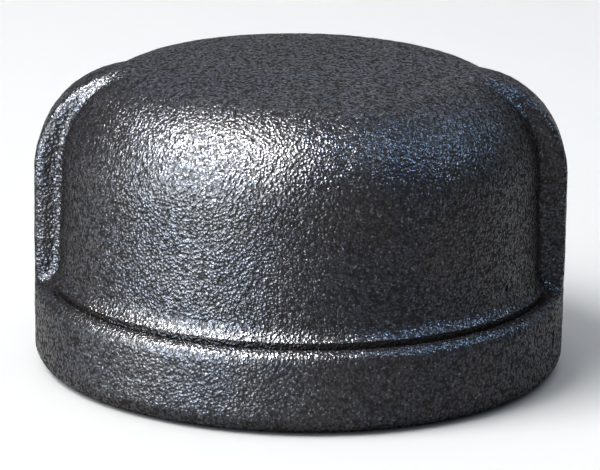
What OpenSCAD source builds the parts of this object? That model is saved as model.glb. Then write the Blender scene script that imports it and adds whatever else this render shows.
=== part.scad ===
// Pipe cap: one malleable iron casting that closes the end of a 1 1/4 inch pipe with a taper thread.
// It stands on its mouth. The axis is +Z, and the origin is the centre of the mouth's face.
// Lengths are in millimetres and angles in degrees.

/* [Casting] */
// Outside diameter of the reinforcing band round the mouth
band_d = 55.6; // [54.7:0.1:58]
// Height of the band
band_h = 8.8; // [7.5:0.1:10.5]
// Overall height, from the mouth's face to the top of the crown
cap_h = 32.5; // [31.5:0.1:36]
// Outside diameter of the wall where it leaves the band
wall_d = 50.3; // [49.6:0.1:51]
// Draft of the wall, for drawing the pattern from the sand
wall_draft = 1.2; // [0.5:0.1:3]
// Thickness of the metal in the wall and the roof
metal_t = 3.75; // [3.2:0.05:4]
// Radius of the shoulder between the wall and the crown
shoulder_r = 10; // [8:0.1:11]
// Slope of the crown where it meets the shoulder
crown_slope = 7.5; // [4:0.5:12]

/* [Ribs] */
// Number of ribs that a wrench bears on
rib_count = 2; // [2:1:6]
// Thickness of a rib
rib_t = 6.1; // [4:0.1:8]
// Radius of a rib's upper corner
rib_corner_r = 10.9; // [8:0.1:12]
// Depth of a rib's top edge under the top of the crown
rib_drop = 1.1; // [1:0.1:4]
// How far a rib's outer face stands inside the band's
rib_inset = 0.1; // [0.1:0.05:0.6]

/* [Edges] */
// Radius of the band's upper edge
band_top_r = 1.4; // [0.8:0.1:1.6]
// Radius of the band's lower edge
band_foot_r = 2.1; // [0.8:0.1:2.2]
// Radius of the fillet at the foot of the wall
wall_fillet_r = 2.1; // [1.8:0.1:3]
// Width of that fillet, from the wall to the crease behind the band's rim
fillet_w = 0.8; // [0.6:0.05:0.9]
// Height of the fillet's lower edge above the band
lip_rise = 0.5; // [0.3:0.05:0.8]
// Width of the crease
crease_w = 0.85; // [0.6:0.05:0.9]
// Depth of the crease below the top of the band
crease_depth = 0.45; // [0.3:0.05:0.6]

/* [Pipe thread] */
// Pitch of the thread: 11.5 turns to the inch
pitch = 2.2088; // [2.1:0.0001:2.4]
// Pitch diameter of the thread at the mouth's face
pitch_d = 40.218; // [40.1:0.001:40.4]
// Diameter of the hole that is drilled for the tap
drill_d = 38.9; // [38.8:0.05:39.2]
// Depth of the drilled hole and of its thread
thread_l = 17.5; // [15:0.1:18.5]
// Width of the flat at the root of the thread
root_flat = 0.186; // [0.15:0.001:0.22]
// Diameter of the countersink at the mouth's face
countersink_d = 43.2; // [42.8:0.1:44]
// Radius of the upper corner of the cored chamber behind the thread
chamber_corner_r = 6; // [4:0.1:7]

/* [Hidden] */
$fn = 96;
iron = [0.16, 0.165, 0.18];
overlap = 0.5;

band_r = band_d / 2;
wall_r = wall_d / 2;
wall_lean = tan(wall_draft);
lip_r = wall_r + fillet_w;
rim_r = lip_r + crease_w;
fillet_end = acos(1 - fillet_w / wall_fillet_r);

// The shoulder is an arc that touches the drafted wall below it and the domed crown above it.
shoulder_x = wall_r - (cap_h - shoulder_r - band_h) * wall_lean - shoulder_r / cos(wall_draft);
crown_edge_x = shoulder_x + shoulder_r * sin(crown_slope);
crown_r = crown_edge_x / sin(crown_slope);
crown_edge_z = cap_h - crown_r * (1 - cos(crown_slope));
shoulder_z = crown_edge_z - shoulder_r * cos(crown_slope);
wall_top_x = shoulder_x + shoulder_r * cos(wall_draft);
wall_top_z = shoulder_z + shoulder_r * sin(wall_draft);

rib_face_x = band_r - rib_inset;
rib_top_z = cap_h - rib_drop;
rib_angle = 360 / rib_count;

chamber_r = wall_top_x - metal_t;
chamber_top_z = cap_h - metal_t;
drill_r = drill_d / 2;
countersink_r = countersink_d / 2;
countersink_h = countersink_r - drill_r;

// The thread is of the 60 degree form. Its root closes in by 1 in 32 on the radius.
taper = 1 / 32;
flank_lean = tan(30);
groove_steps = 36;
groove_turns = thread_l / pitch + 1;
groove_inner_r = drill_r - 0.15;
root_r = pitch_d / 2 + pitch / 4 / flank_lean - root_flat / 2 / flank_lean;

// Half outline of the reinforcing band
module band_outline() {
    square([band_r - band_foot_r, band_h - overlap]);
    translate([0, band_foot_r]) square([band_r, band_h - band_foot_r - band_top_r]);
    translate([0, overlap]) square([band_r - band_top_r, band_h - overlap]);
    translate([band_r - band_foot_r, band_foot_r]) circle(band_foot_r);
    translate([band_r - band_top_r, band_h - band_top_r]) circle(band_top_r);
}

// Half outline of the fillet at the foot of the wall, which breaks off at the crease
module fillet_outline() {
    arc_z = band_h + lip_rise + wall_fillet_r * sin(fillet_end);
    difference() {
        translate([wall_r - 2 * overlap, band_h - 2 * overlap])
            square([fillet_w + 2 * overlap, arc_z - band_h + 2 * overlap]);
        translate([wall_r + wall_fillet_r, arc_z]) circle(wall_fillet_r);
    }
}

// Half outline of the crease between the fillet and the band's rim
module crease_outline() {
    polygon([
        [lip_r, band_h - crease_depth + 0.15], [lip_r + 0.25, band_h - crease_depth],
        [rim_r, band_h + 0.05], [rim_r, band_h + 2], [lip_r, band_h + 2],
    ]);
}

// Half outline of the drafted wall, its shoulder and the crown
module dome_outline() {
    polygon([
        [0, overlap], [wall_r, overlap], [wall_r, band_h], [wall_top_x, wall_top_z],
        [shoulder_x, shoulder_z], [crown_edge_x, crown_edge_z], [0, crown_edge_z],
    ]);
    intersection() {
        translate([shoulder_x, shoulder_z]) circle(shoulder_r);
        polygon([
            [shoulder_x, shoulder_z], [wall_top_x, wall_top_z], [wall_top_x, cap_h],
            [crown_edge_x, cap_h], [crown_edge_x, crown_edge_z],
        ]);
    }
    intersection() {
        translate([0, cap_h - crown_r]) circle(crown_r);
        translate([0, crown_edge_z]) square([crown_edge_x, crown_r]);
    }
}

// A rib is a flat plate that stands on the band's shelf and dies into the shoulder.
module rib() {
    rotate([90, 0, 0]) linear_extrude(rib_t, center = true) {
        translate([0, overlap]) square([rib_face_x - rib_corner_r, rib_top_z - overlap]);
        translate([0, band_h - overlap])
            square([rib_face_x, rib_top_z - rib_corner_r - band_h + overlap]);
        translate([rib_face_x - rib_corner_r, rib_top_z - rib_corner_r]) circle(rib_corner_r);
    }
}

// The cored chamber behind the thread, with a rounded upper corner
module chamber() {
    rotate_extrude() {
        translate([0, thread_l]) square([chamber_r, chamber_top_z - chamber_corner_r - thread_l]);
        translate([0, thread_l]) square([chamber_r - chamber_corner_r, chamber_top_z - thread_l]);
        intersection() {
            translate([chamber_r - chamber_corner_r, chamber_top_z - chamber_corner_r])
                circle(chamber_corner_r);
            translate([0, thread_l]) square([chamber_r, cap_h]);
        }
    }
}

// The hole that is drilled for the tap, and its countersink
module drilled_hole() {
    translate([0, 0, -overlap]) cylinder(h = thread_l + 2 * overlap, r = drill_r);
    translate([0, 0, -overlap])
        cylinder(h = countersink_h + overlap, r1 = countersink_r + overlap, r2 = drill_r);
}

// One section of the thread's groove, i steps along its helix
function groove_section(i) = let (
    turn = 360 * i / groove_steps,
    z = pitch * (i / groove_steps - 0.5),
    r = root_r - taper * z,
    half_w = root_flat / 2 + flank_lean * (r - groove_inner_r)
) [for (p = [[groove_inner_r, z - half_w], [r, z - root_flat / 2],
             [r, z + root_flat / 2], [groove_inner_r, z + half_w]])
    [p.x * cos(turn), p.x * sin(turn), p.y]];

// The groove that the tap cuts: a right-handed helix
module thread_groove() {
    last = ceil(groove_turns * groove_steps);
    polyhedron(
        points = [for (i = [0:last]) each groove_section(i)],
        faces = concat(
            [[3, 2, 1, 0]],
            [for (i = [0:last - 1], k = [0:3]) let (a = 4 * i + k, b = 4 * i + (k + 1) % 4)
                each [[a, b, a + 4], [b, b + 4, a + 4]]],
            [[for (k = [0:3]) 4 * last + k]]
        )
    );
}

module cap_casting() {
    color(iron) difference() {
        union() {
            rotate_extrude() difference() {
                union() {
                    band_outline();
                    fillet_outline();
                    dome_outline();
                }
                crease_outline();
            }
            for (i = [0:rib_count - 1]) rotate(i * rib_angle) rib();
        }
        chamber();
        drilled_hole();
        thread_groove();
    }
}

cap_casting();
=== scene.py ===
import bpy
import math
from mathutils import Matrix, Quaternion, Vector


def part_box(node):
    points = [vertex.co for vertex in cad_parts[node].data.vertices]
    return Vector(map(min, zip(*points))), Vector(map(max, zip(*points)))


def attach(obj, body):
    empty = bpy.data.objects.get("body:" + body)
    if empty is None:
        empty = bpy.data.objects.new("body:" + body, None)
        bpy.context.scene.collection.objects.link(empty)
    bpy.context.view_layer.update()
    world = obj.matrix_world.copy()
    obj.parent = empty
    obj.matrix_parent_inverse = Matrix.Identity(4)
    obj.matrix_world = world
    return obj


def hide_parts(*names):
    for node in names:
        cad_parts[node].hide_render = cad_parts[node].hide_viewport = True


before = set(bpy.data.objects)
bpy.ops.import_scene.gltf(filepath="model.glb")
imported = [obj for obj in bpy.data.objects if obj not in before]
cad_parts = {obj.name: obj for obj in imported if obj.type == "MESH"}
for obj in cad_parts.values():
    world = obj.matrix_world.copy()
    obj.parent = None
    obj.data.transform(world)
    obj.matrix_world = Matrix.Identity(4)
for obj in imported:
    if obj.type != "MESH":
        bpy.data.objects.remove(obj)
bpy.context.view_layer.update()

mm = 0.001
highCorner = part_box("cap_casting")[1]
bandRadius = highCorner[0]
capHeight = highCorner[2]


def deselectAll():
    if bpy.context.object and bpy.context.object.mode != 'OBJECT':
        bpy.ops.object.mode_set(mode='OBJECT')
    bpy.ops.object.select_all(action='DESELECT')


def makeActive(obj):
    deselectAll()
    obj.select_set(True)
    bpy.context.view_layer.objects.active = obj


def applyModifier(obj, kind, **settings):
    makeActive(obj)
    mod = obj.modifiers.new(kind.title(), kind)
    for key, value in settings.items():
        setattr(mod, key, value)
    bpy.ops.object.modifier_apply(modifier=mod.name)


def arc(centre, radius, startAngle, endAngle, steps):
    points = []
    for i in range(steps + 1):
        a = math.radians(startAngle + (endAngle - startAngle) * i / steps)
        points.append((centre[0] + radius * math.cos(a), centre[1] + radius * math.sin(a)))
    return points


def drawOutline(name, points):
    # an open outline in the XZ plane, in millimetres
    mesh = bpy.data.meshes.new(name)
    verts = [(x * mm, 0, z * mm) for x, z in points]
    mesh.from_pydata(verts, [(i, i + 1) for i in range(len(verts) - 1)], [])
    obj = bpy.data.objects.new(name, mesh)
    bpy.context.collection.objects.link(obj)
    return obj


def turnOnLathe(obj, steps, angle=math.tau):
    makeActive(obj)
    bpy.ops.object.mode_set(mode='EDIT')
    bpy.ops.mesh.select_all(action='SELECT')
    if angle < math.tau:     # a closed outline gets its two end faces
        bpy.ops.mesh.edge_face_add()
    bpy.ops.mesh.spin(steps=steps, angle=angle, center=(0, 0, 0), axis=(0, 0, 1))
    bpy.ops.mesh.select_all(action='SELECT')
    bpy.ops.mesh.remove_doubles(threshold=0.001 * mm)
    bpy.ops.mesh.normals_make_consistent(inside=False)
    bpy.ops.object.mode_set(mode='OBJECT')


def cutAway(obj, cutter):
    applyModifier(obj, 'BOOLEAN', operation='DIFFERENCE', object=cutter, solver='MANIFOLD')
    bpy.data.objects.remove(cutter)


casting = {
    "bandHeight": 8.8,
    "bandFootRadius": 2.1,
    "bandTopRadius": 1.4,
    "wallRadius": 25.15,
    "wallDraft": 1.2,        # degrees
    "wallFilletRadius": 2.1,
    "lipRadius": 25.95,      # where the fillet breaks off at the crease behind the rim
    "lipHeight": 9.3,
    "shoulderRadius": 10.0,
    "crownSlope": 7.5,       # degrees, where the crown meets the shoulder
    "voxel": 0.34,
    "skinPasses": 2,         # rounds of smoothing after the remesh
    "facedHeight": 0.25,     # the mouth's face is free of grain below this
    "mergeDistance": 0.002,
    "latheSteps": 240,
    "smoothAngle": 38.0,
}
casting["bandRadius"] = bandRadius / mm
casting["height"] = capHeight / mm


def shoulderPlaces(c):
    lean = math.tan(math.radians(c["wallDraft"]))
    x = c["wallRadius"] - (c["height"] - c["shoulderRadius"] - c["bandHeight"]) * lean
    x -= c["shoulderRadius"] / math.cos(math.radians(c["wallDraft"]))
    slope = math.radians(c["crownSlope"])
    edgeX = x + c["shoulderRadius"] * math.sin(slope)
    crownRadius = edgeX / math.sin(slope)
    edgeZ = c["height"] - crownRadius * (1 - math.cos(slope))
    z = edgeZ - c["shoulderRadius"] * math.cos(slope)
    return x, z, crownRadius


def castingOutline(c):
    band, foot, top = c["bandRadius"], c["bandFootRadius"], c["bandTopRadius"]
    fillet = c["wallFilletRadius"]
    filletEnd = math.degrees(math.acos(1 - (c["lipRadius"] - c["wallRadius"]) / fillet))
    shoulderX, shoulderZ, crownRadius = shoulderPlaces(c)
    points = [(0, 0)]
    points += arc((band - foot, foot), foot, -90, 0, 10)
    points += arc((band - top, c["bandHeight"] - top), top, 0, 90, 10)
    filletZ = c["lipHeight"] + fillet * math.sin(math.radians(filletEnd))
    filletX = c["wallRadius"] + fillet
    points += arc((filletX, filletZ), fillet, 180 + filletEnd, 180 - c["wallDraft"], 14)
    points += arc((shoulderX, shoulderZ), c["shoulderRadius"], c["wallDraft"], 90 - c["crownSlope"], 30)
    points += arc((0, c["height"] - crownRadius), crownRadius, 90 - c["crownSlope"], 90, 16)[1:]
    return points


def addRib(side, c, r):
    low = c["bandHeight"] - r["rootDepth"]
    high = c["height"] - r["drop"]
    outer = c["bandRadius"] - r["inset"]
    inner = outer - r["length"]
    middle = (side * (outer + inner) / 2 * mm, 0, (low + high) / 2 * mm)
    bpy.ops.mesh.primitive_cube_add(size=1, location=middle)
    rib = bpy.context.object
    rib.scale = ((outer - inner) * mm, r["thickness"] * mm, (high - low) * mm)
    bpy.ops.object.transform_apply(location=True, scale=True)
    makeActive(rib)
    bpy.ops.object.mode_set(mode='EDIT')
    bpy.ops.mesh.select_mode(type='EDGE')
    bpy.ops.mesh.select_all(action='DESELECT')
    bpy.ops.object.mode_set(mode='OBJECT')
    for edge in rib.data.edges:
        ends = [rib.data.vertices[v].co for v in edge.vertices]
        edge.select = all(abs(abs(p.x) - outer * mm) < 1e-6 and abs(p.z - high * mm) < 1e-6 for p in ends)
    bpy.ops.object.mode_set(mode='EDIT')
    bpy.ops.mesh.bevel(offset=r["cornerRadius"] * mm, segments=r["cornerSegments"], affect='EDGES')
    bpy.ops.mesh.select_all(action='DESELECT')
    bpy.ops.object.mode_set(mode='OBJECT')
    for face in rib.data.polygons:      # the two flat sides
        face.select = abs(face.normal.y) > 0.99
    bpy.ops.object.mode_set(mode='EDIT')
    bpy.ops.mesh.select_mode(type='FACE')
    bpy.ops.mesh.region_to_loop()
    bpy.ops.mesh.bevel(offset=r["edgeRadius"] * mm, segments=r["edgeSegments"], affect='EDGES')
    bpy.ops.object.mode_set(mode='OBJECT')
    return rib


rib = {
    "thickness": 6.1,
    "cornerRadius": 10.9,
    "cornerSegments": 20,
    "edgeRadius": 0.9,
    "edgeSegments": 4,
    "drop": 1.1,
    "inset": 0.02,
    "length": 13.0,
    "rootDepth": 4.0,
    "seamWidth": 2.0,        # reach of the soft corner between rib and wall
    "seamPasses": 24,
}


def seamWeight(co, c, r):
    # 1 on the seams where a rib meets the wall, the shoulder or the shelf, fading out to nothing
    x, y, z = abs(co.x) / mm, abs(co.y) / mm, co.z / mm
    radius = math.hypot(x, y)
    shoulderX, shoulderZ, crownRadius = shoulderPlaces(c)
    if z > shoulderZ and radius > shoulderX:
        skin = math.hypot(radius - shoulderX, z - shoulderZ) - c["shoulderRadius"]
    elif radius > shoulderX:
        skin = radius - c["wallRadius"] + (z - c["bandHeight"]) * math.tan(math.radians(c["wallDraft"]))
    else:
        return 0
    if x < c["wallRadius"] * 0.5 or z < c["bandHeight"] - 0.6:
        return 0
    wallSeam = math.hypot(y - r["thickness"] / 2, skin)
    footSeam = math.hypot(y - r["thickness"] / 2, z - c["bandHeight"]) if radius > c["wallRadius"] - 1 else 99
    d = min(wallSeam, footSeam)
    w = max(0, 1 - d / r["seamWidth"])
    return w * w * (3 - 2 * w)


body = drawOutline("iron_cap", castingOutline(casting))
turnOnLathe(body, casting["latheSteps"])
ribs = [addRib(side, casting, rib) for side in (-1, 1)]
deselectAll()
for piece in ribs + [body]:
    piece.select_set(True)
bpy.context.view_layer.objects.active = body
bpy.ops.object.join()
applyModifier(body, 'REMESH', mode='VOXEL', voxel_size=casting["voxel"] * mm, adaptivity=0,
              use_smooth_shade=True)
print("outside remeshed:", len(body.data.vertices), "points")

seam = body.vertex_groups.new(name="seam")
for v in body.data.vertices:
    w = seamWeight(v.co, casting, rib)
    if w > 0:
        seam.add([v.index], w, 'REPLACE')
applyModifier(body, 'SMOOTH', factor=0.5, iterations=rib["seamPasses"], vertex_group="seam")
applyModifier(body, 'SMOOTH', factor=0.5, iterations=casting["skinPasses"])
print("skin and rib corners smoothed")

relief = {                   # size and depth
    "swell": (5.0, 0.10),    # slow waves in the skin
    "grain": (0.8, 0.10),
}

grainy = body.vertex_groups.new(name="grainy")     # all but the mouth, which is faced flat
for v in body.data.vertices:
    if v.co.z > casting["facedHeight"] * mm:
        grainy.add([v.index], 1.0, 'REPLACE')


def pressTexture(obj, name, size, depth):
    tex = bpy.data.textures.new(name, 'CLOUDS')
    tex.noise_scale = size * mm
    tex.noise_depth = 1
    tex.noise_basis = 'ORIGINAL_PERLIN'
    applyModifier(obj, 'DISPLACE', texture=tex, texture_coords='LOCAL', direction='NORMAL',
                  mid_level=0.6, strength=depth * mm, vertex_group="grainy")


for name, (size, depth) in relief.items():
    pressTexture(body, name, size, depth)

crease = {                   # behind the band's rim
    "innerRadius": 25.95,
    "outerRadius": 26.8,
    "bottom": 8.35,
    "bottomRadius": 26.2,
    "innerRise": 0.15,       # the inner edge of the bottom above its deepest line
    "rimRise": 0.05,         # the outer edge above the band
    "over": 0.35,            # how far the cutter reaches over the fillet's edge
    "endRise": 0.9,          # how far the bottom comes up at the two ends
    "startAngle": 12.0,      # degrees from a rib's middle
    "runOut": 9.0,           # degrees
    "steps": 180,
}


def creaseCutter(c, k, side):
    top = c["lipHeight"] + k["over"]
    outline = [(k["innerRadius"], k["bottom"] + k["innerRise"]), (k["bottomRadius"], k["bottom"]),
               (k["outerRadius"], c["bandHeight"] + k["rimRise"]), (k["outerRadius"], top),
               (k["innerRadius"], top)]
    obj = drawOutline("creaseCutter", outline + outline[:1])
    turnOnLathe(obj, k["steps"], math.radians(180 - 2 * k["startAngle"]))
    makeActive(obj)
    for v in obj.data.vertices:      # the crease runs out before it reaches a rib
        angle = abs(math.degrees(math.atan2(v.co.y, v.co.x)))
        nearEnd = max(0, 1 - min(angle, 180 - 2 * k["startAngle"] - angle) / k["runOut"])
        v.co.z = max(v.co.z, (k["bottom"] + nearEnd ** 2 * k["endRise"]) * mm)
    obj.rotation_euler.z = math.radians((180 if side < 0 else 0) - k["startAngle"])
    bpy.ops.object.transform_apply(rotation=True)
    return obj


for side in (-1, 1):
    cutAway(body, creaseCutter(casting, crease, side))

flaws = {                    # angle from +X, height, radius, then width, height and depth
    "pit": (-33.0, 11.7, 25.2, 0.65, 0.75, 0.55),
    "bandNick": (-18.5, 4.8, 27.75, 0.70, 1.90, 0.45),
    "ribNick": (171.0, 21.0, 25.9, 0.50, 0.35, 0.30),
    "backPit": (118.0, 14.2, 25.05, 0.60, 0.45, 0.35),
}


def flawCutter(angle, height, radius, width, tall, deep):
    a = math.radians(angle)
    middle = (radius * math.cos(a) * mm, radius * math.sin(a) * mm, height * mm)
    bpy.ops.mesh.primitive_uv_sphere_add(segments=16, ring_count=8, radius=0.5, location=middle,
                                         rotation=(0, 0, a))
    obj = bpy.context.object
    obj.scale = (2 * deep * mm, width * mm, tall * mm)
    return obj


for name, place in flaws.items():
    cutAway(body, flawCutter(*place))
print("crease and flaws cut")

bore = {
    "pitch": 2.2088,
    "rootRadius": 20.90,
    "rootFlat": 0.19,
    "crestRadius": 19.2,
    "drillRadius": 19.45,
    "depth": 17.5,
    "countersinkRadius": 21.6,
    "taper": 1 / 32,
    "chamberCorner": 6.0,
    "metal": 3.75,           # thickness of the wall and the roof over the chamber
    "stepsPerTurn": 96,
    "chamberSteps": 128,
    "drillSteps": 192,
}


def threadCutter(b):
    flank = math.tan(math.radians(30))
    half = b["rootFlat"] / 2 + flank * (b["rootRadius"] - b["crestRadius"])
    p = b["pitch"]
    profile = [(b["crestRadius"], -p / 2), (b["crestRadius"], -half), (b["rootRadius"], -b["rootFlat"] / 2),
               (b["rootRadius"], b["rootFlat"] / 2), (b["crestRadius"], half), (b["crestRadius"], p / 2)]
    obj = drawOutline("threadCutter", [(x, z - 2 * p) for x, z in profile])
    turns = int(b["depth"] / p) + 6
    applyModifier(obj, 'SCREW', axis='Z', angle=math.tau, screw_offset=p * mm, iterations=turns,
                  steps=b["stepsPerTurn"], render_steps=b["stepsPerTurn"], use_merge_vertices=True,
                  merge_threshold=0.001 * mm)
    for v in obj.data.vertices:
        k = 1 - b["taper"] * v.co.z / (b["rootRadius"] * mm)
        v.co.x *= k
        v.co.y *= k
    makeActive(obj)
    bpy.ops.object.mode_set(mode='EDIT')
    for height, keepAbove in ((-1.0, True), (b["depth"] + 1.0, False)):
        bpy.ops.mesh.select_all(action='SELECT')
        bpy.ops.mesh.bisect(plane_co=(0, 0, height * mm), plane_no=(0, 0, 1), use_fill=True,
                            clear_inner=keepAbove, clear_outer=not keepAbove, threshold=1e-7)
    bpy.ops.mesh.select_all(action='SELECT')
    bpy.ops.mesh.remove_doubles(threshold=0.001 * mm)
    bpy.ops.mesh.normals_make_consistent(inside=False)
    bpy.ops.object.mode_set(mode='OBJECT')
    return obj


def chamberCutter(c, b):
    shoulderX, shoulderZ, crownRadius = shoulderPlaces(c)
    wall = shoulderX + c["shoulderRadius"] - b["metal"]
    roof = c["height"] - b["metal"]
    corner = b["chamberCorner"]
    points = [(0, b["depth"]), (wall, b["depth"])]
    points += arc((wall - corner, roof - corner), corner, 0, 90, 12) + [(0, roof)]
    obj = drawOutline("chamberCutter", points)
    turnOnLathe(obj, b["chamberSteps"])
    return obj


def drillCutter(b):
    sink = b["countersinkRadius"] - b["drillRadius"]
    over = 1.0
    points = [(0, -over), (b["countersinkRadius"] + over, -over), (b["drillRadius"], sink),
              (b["drillRadius"], b["depth"] + over), (0, b["depth"] + over)]
    obj = drawOutline("drillCutter", points)
    turnOnLathe(obj, b["drillSteps"])
    return obj


cutAway(body, drillCutter(bore))
cutAway(body, threadCutter(bore))
cutAway(body, chamberCutter(casting, bore))
makeActive(body)
bpy.ops.object.mode_set(mode='EDIT')
bpy.ops.mesh.select_all(action='SELECT')
bpy.ops.mesh.remove_doubles(threshold=casting["mergeDistance"] * mm)    # slivers that the cuts leave
bpy.ops.object.mode_set(mode='OBJECT')
bpy.ops.object.shade_smooth_by_angle(angle=math.radians(casting["smoothAngle"]))
print("bore cut, cap:", len(body.data.polygons), "faces,",
      sum(len(f.vertices) - 2 for f in body.data.polygons), "triangles")

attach(body, "root")
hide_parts("cap_casting")


class Val:
    def __init__(self, shader, socket):
        self.shader, self.socket = shader, socket

    def op(self, kind, *others):
        return self.shader.node('ShaderNodeMath', {"operation": kind}, [self, *others])

    def __add__(self, o): return self.op('ADD', o)
    def __radd__(self, o): return self.op('ADD', o)
    def __mul__(self, o): return self.op('MULTIPLY', o)
    def __rmul__(self, o): return self.op('MULTIPLY', o)
    def __sub__(self, o): return self.op('SUBTRACT', o)
    def __rsub__(self, o): return self.shader.node('ShaderNodeMath', {"operation": 'SUBTRACT'}, [o, self])
    def __pow__(self, o): return self.op('POWER', o)


class Shader:
    def __init__(self, name):
        self.material = bpy.data.materials.new(name)
        self.material.use_nodes = True
        self.tree = self.material.node_tree
        self.tree.nodes.clear()

    def node(self, kind, settings=None, inputs=None, output=0):
        n = self.tree.nodes.new(kind)
        for key, value in (settings or {}).items():
            setattr(n, key, value)
        pairs = inputs.items() if isinstance(inputs, dict) else enumerate(inputs or [])
        for key, value in pairs:
            if isinstance(value, Val):
                self.tree.links.new(value.socket, n.inputs[key])
            else:
                n.inputs[key].default_value = value
        return Val(self, n.outputs[output]) if n.outputs else None

    def mix(self, factor, a, b):
        n = self.tree.nodes.new('ShaderNodeMix')
        n.data_type = 'RGBA'
        for index, value in ((0, factor), (6, a), (7, b)):
            if isinstance(value, Val):
                self.tree.links.new(value.socket, n.inputs[index])
            else:
                n.inputs[index].default_value = value if index == 0 else (*value, 1)
        return Val(self, n.outputs[2])

    def between(self, value, low, high, toLow=0.0, toHigh=1.0):
        return self.node('ShaderNodeMapRange', {"interpolation_type": 'SMOOTHSTEP'},
                         [value, low, high, toLow, toHigh])


iron = {
    "skin": (0.0106, 0.0125, 0.0225),
    "valley": (0.005, 0.0056, 0.008),
    "worn": (0.021, 0.0175, 0.0160),
    "wornShare": 0.6,
    # painted shade for the grain's hollows and the crease, as a dull dark colour
    "paintedShade": (0.0085, 0.0068, 0.0058),
    "glint": (0.075, 0.078, 0.088),  # scattered lighter points: painted glints, partly metal rubbed bare
    "roughTops": 0.19,
    "roughHollows": 0.29,
    "roughBand": 0.07,       # how much rougher the band is
    "roughPaintedShade": 0.6,
    "metallic": 0.35,
    "paintedShadeShare": 0.68,       # how much of a hollow gets the dull painted shade
    "creaseShadeShare": 0.7,      # the same for the crease behind the band's rim, as painted shade
    "grazingLoss": 0.44,     # share of the gloss that the grain hides at a glancing view
    "grazingStep": 0.16,     # how much sharper the hollows' edges are then
    "pebble": 0.33,          # sizes of the grain in mm, as the rest below
    "cobble": 0.72,
    "worm": 0.24,
    "speck": 0.16,
    "rubbedGlints": 0.30,
    "swell": 7.0,
    "grainDepth": 0.138,
}

machinedMetal = {
    "colour": (0.40, 0.39, 0.375),
    "oil": (0.13, 0.115, 0.095),     # cutting oil that has dried on it
    "rough": 0.26,
    "metallic": 0.95,
    "toolMark": 0.16,        # mm
    "toolMarkDepth": 0.22,   # of the grain's depth
    "stain": 3.5,            # mm
}


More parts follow.
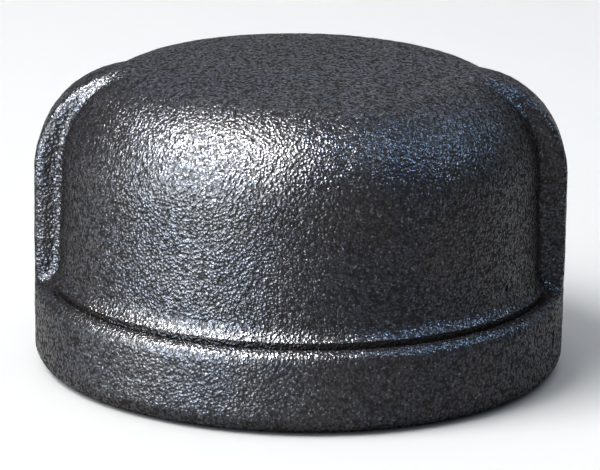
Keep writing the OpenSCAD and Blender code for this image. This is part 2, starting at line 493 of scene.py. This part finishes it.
def blackIron():
    s = Shader("black_iron")
    place = s.node('ShaderNodeTexCoord', output=3)
    split = s.node('ShaderNodeSeparateXYZ', inputs=[place])
    x, y, z = [Val(s, split.socket.node.outputs[i]) for i in range(3)]
    radius = (x * x + y * y) ** 0.5

    def stones(size):
        return s.node('ShaderNodeTexVoronoi', {"feature": 'F1'},
                      {"Vector": place, "Scale": 1 / (size * mm), "Randomness": 1.0})

    def clouds(size, detail, vector=place):
        return s.node('ShaderNodeTexNoise', inputs={
            "Vector": vector, "Scale": 1 / (size * mm), "Detail": detail})

    def upTo(value, start, end):         # 1 on the start's side, in mm
        return s.between(value, end * mm, start * mm)

    swell = clouds(iron["swell"], 2.0)
    grain = (1 - stones(iron["pebble"])) * 0.60 + (1 - stones(iron["cobble"])) * 0.30
    grain = grain + clouds(iron["worm"], 2.0) * 0.55 + clouds(iron["speck"], 1.0) * 0.28 - 0.105
    tops = s.between(grain, 0.55, 0.85)
    rubbedGlints = s.between(clouds(iron["rubbedGlints"], 1.0), 0.62, 0.72)
    band = casting["bandHeight"]
    handled = upTo(z, band - 1.1, band - 0.1)      # the band is duller than the dome

    sink = bore["countersinkRadius"]
    bored = upTo(radius, sink, sink + 0.15) * upTo(z, bore["depth"] - 0.1, bore["depth"] + 0.1)
    facedOff = upTo(z, 0.10, 0.22) * upTo(radius, 25.4, 26.0)
    machined = bored.op('MAXIMUM', facedOff)

    # the grain's low parts take the darker valley colour: painted shade
    skin = s.mix(tops, iron["valley"], iron["skin"])
    skin = s.mix(s.between(swell, 0.35, 0.65, 0.0, iron["wornShare"]), skin, iron["worn"])
    # painted glints: scattered points lightened, partly metal rubbed bare
    skin = s.mix(rubbedGlints, skin, iron["glint"])

    alongTool = s.node('ShaderNodeCombineXYZ', inputs=[radius, z * 0.7, 0.0])
    toolMarks = clouds(machinedMetal["toolMark"], 3.0, alongTool)
    threadRoot = s.between(radius, 20.0 * mm, bore["rootRadius"] * mm) * s.between(z, 0.4 * mm, 1.2 * mm)
    stains = s.between(clouds(machinedMetal["stain"], 4.0), 0.42, 0.68)
    oily = (stains * 0.55).op('MAXIMUM', threadRoot * 0.8)
    cut = s.mix(oily, machinedMetal["colour"], machinedMetal["oil"])

    rough = s.between(tops, 0.0, 1.0, iron["roughHollows"], iron["roughTops"])
    rough = rough + swell * 0.04 + handled * iron["roughBand"]
    cutRough = machinedMetal["rough"] + toolMarks * 0.12 + oily * 0.15
    height = grain * (1 - machined) * (1 - handled * 0.2)
    height = height + toolMarks * machinedMetal["toolMarkDepth"] * machined
    bump = s.node('ShaderNodeBump', inputs={
        "Strength": 1.0, "Distance": iron["grainDepth"] * mm, "Height": height})
    metal = s.node('ShaderNodeBsdfPrincipled', inputs={
        "Base Color": s.mix(machined, skin, cut), "Roughness": rough * (1 - machined) + cutRough * machined,
        "Metallic": iron["metallic"] + (machinedMetal["metallic"] - iron["metallic"]) * machined,
        "IOR": 1.5, "Specular IOR Level": 0.5, "Normal": bump})
    # painted shade: a dull dark shader mixed into the grain's hollows and the crease
    paintedShade = s.node('ShaderNodeBsdfPrincipled', inputs={
        "Base Color": (*iron["paintedShade"], 1), "Roughness": iron["roughPaintedShade"], "Specular IOR Level": 0.0,
        "Normal": bump})

    # the hollow mask places the painted shade, more of it at a glancing view
    facing = s.node('ShaderNodeLayerWeight', inputs={"Blend": 0.5}, output=1)
    step = facing * iron["grazingStep"]
    hollow = s.between(grain, 0.50 + step, 1.0 - step, iron["paintedShadeShare"] + step * 1.5, 0.0)
    hollow = 1 - (1 - hollow) * (1 - facing * iron["grazingLoss"])
    hollow = hollow * (1 - machined) * (1 - rubbedGlints * 0.6)
    # painted shade in the crease behind the band's rim
    inner, outer = crease["innerRadius"], crease["outerRadius"]
    creaseShade = upTo(radius, outer - 0.05, outer + 0.15) * upTo(radius, inner - 0.05, inner - 0.15)
    creaseShade = creaseShade * upTo(z, crease["bottom"] - 0.05, crease["bottom"] - 0.15)
    creaseShade = creaseShade * upTo(z, casting["lipHeight"] - 0.10, casting["lipHeight"] + 0.05)
    hollow = hollow.op('MAXIMUM', creaseShade * iron["creaseShadeShare"])
    surface = s.node('ShaderNodeMixShader', inputs=[hollow, metal, paintedShade])
    s.node('ShaderNodeOutputMaterial', inputs={"Surface": surface})
    return s.material


body.data.materials.clear()
body.data.materials.append(blackIron())


studioFloor = {
    "size": 6.0,             # metres
    "dark": (0.295, 0.292, 0.288),
    "light": (0.305, 0.302, 0.298),
    "rough": 0.8,
    "cloudsPerMetre": 12.0,
}


def floorMaterial(f):
    s = Shader("studio_floor")
    place = s.node('ShaderNodeTexCoord', output=3)
    cloud = s.node('ShaderNodeTexNoise', inputs={
        "Vector": place, "Scale": f["cloudsPerMetre"], "Detail": 3.0})
    shader = s.node('ShaderNodeBsdfPrincipled', inputs={
        "Base Color": s.mix(cloud, f["dark"], f["light"]), "Roughness": f["rough"]})
    s.node('ShaderNodeOutputMaterial', inputs={"Surface": shader})
    return s.material


deselectAll()
bpy.ops.mesh.primitive_plane_add(size=studioFloor["size"], location=(0, 0, 0))
floor = bpy.context.object
floor.name = "studio_floor"
floor.data.materials.append(floorMaterial(studioFloor))
print("iron and floor finished")

white = (1, 1, 1)
cards = {                    # azimuth (0 at the camera, 90 on the right), elevation, distance,
                             # width, height, watts, colour, what it lights
    "key_softbox": (-64, 50, 0.9, 0.60, 0.60, 17.0, white, "all"),
    "key_glint": (-62, 58, 0.9, 0.44, 0.27, 103.0, white, "gloss"),
    "left_card": (-54, 10, 0.8, 0.80, 0.34, 43.0, (0.84, 0.93, 1.0), "gloss"),
    "blue_window": (93, 46, 1.2, 0.24, 0.24, 17.5, (0.42, 0.66, 1.0), "gloss"),
    "back_card": (180, 32, 1.2, 0.90, 0.25, 2.6, (0.74, 0.85, 1.0), "gloss"),
    "floor_fill": (0, 89.9, 1.2, 1.60, 1.60, 18.5, white, "floor"),
}
skyLight = {
    "colour": (0.80, 0.89, 1.0),
    "strength": 0.40,
}


def addCard(name, azimuth, elevation, distance, width, height, power, colour, lights):
    a, e = math.radians(azimuth), math.radians(elevation)
    aim = Vector((0, 0, capHeight / 2))
    place = aim + distance * Vector((math.sin(a) * math.cos(e), -math.cos(a) * math.cos(e), math.sin(e)))
    bpy.ops.object.light_add(type='AREA', location=place)
    lamp = bpy.context.object
    lamp.name = name
    lamp.data.shape = 'RECTANGLE'
    lamp.data.size = width
    lamp.data.size_y = height
    lamp.data.energy = power
    lamp.data.color = colour
    lamp.visible_diffuse = lights != "gloss"
    lamp.visible_glossy = lights != "floor"
    lamp.rotation_euler = (aim - place).to_track_quat('-Z', 'Y').to_euler()
    return lamp


for name, card in cards.items():
    addCard(name, *card)

world = bpy.data.worlds.new("studio")
bpy.context.scene.world = world
world.use_nodes = True
background = world.node_tree.nodes["Background"]
background.inputs["Color"].default_value = (*skyLight["colour"], 1)
background.inputs["Strength"].default_value = skyLight["strength"]
print("studio lit with", len(cards), "cards")

camera = {
    "distance": 14.0,        # in band radii, like the target's height
    "targetHeight": 0.6,
    "elevation": 14.75,
    "lens": 222.8,
    "dip": 0.483,            # degrees that the view is lowered
    "roll": 0.92,            # degrees
}


def addCamera(k):
    target = Vector((0, 0, k["targetHeight"] * bandRadius))
    e = math.radians(k["elevation"])
    place = target + k["distance"] * bandRadius * Vector((0, -math.cos(e), math.sin(e)))
    bpy.ops.object.camera_add(location=place)
    cam = bpy.context.object
    cam.data.lens = k["lens"]
    cam.data.clip_start = 0.01
    look = math.radians(k["elevation"] + k["dip"])
    ahead = Vector((0, math.cos(look), -math.sin(look)))
    roll = Quaternion(ahead, -math.radians(k["roll"]))
    cam.rotation_euler = (roll @ ahead.to_track_quat('-Z', 'Y')).to_euler()
    bpy.context.scene.camera = cam


addCamera(camera)
bpy.context.scene.view_settings.view_transform = 'Standard'
